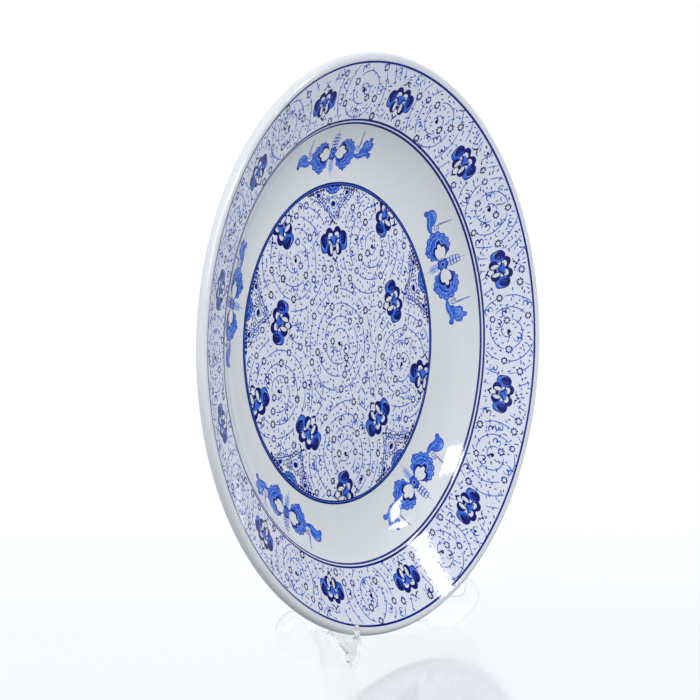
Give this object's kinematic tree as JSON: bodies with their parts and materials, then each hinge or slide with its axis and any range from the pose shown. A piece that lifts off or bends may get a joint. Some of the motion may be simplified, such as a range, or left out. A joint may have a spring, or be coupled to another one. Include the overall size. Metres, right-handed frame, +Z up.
{
  "type": "serving platter",
  "caption": "Round glazed china platter with a wide sloped rim and a foot ring, leaning in a clear slot-together panel stand.",
  "frame": {"origin": "the point of the table under the line where the stand's two panels cross, on the left panel's lower edge", "axes": "+Z up from the table, the platter's eating surface faces -Y and leans back towards +Y, +X to the right of someone looking along +Y"},
  "size_m": [0.3, 0.081, 0.3081],
  "materials": {
    "glazed_china": "clear gloss glaze over white clay, with blue painting under it",
    "clear_acrylic": "clear and polished, with bright cut edges"
  },
  "bodies": {
    "stand_left": {"stand_panel_left": "clear_acrylic"},
    "stand_right": {"stand_panel_right": "clear_acrylic"},
    "platter": {"platter": "glazed_china"}
  },
  "joints": [
    {"name": "panel_slide", "type": "slide", "parent": "stand_left", "child": "stand_right", "axis": [0, 0, 1], "range_m": [0, 0.075]},
    {"name": "platter_lift", "type": "slide", "parent": "stand_right", "child": "platter", "axis": [0, 0.1219, 0.9925], "range_m": [0, 0.12]}
  ]
}
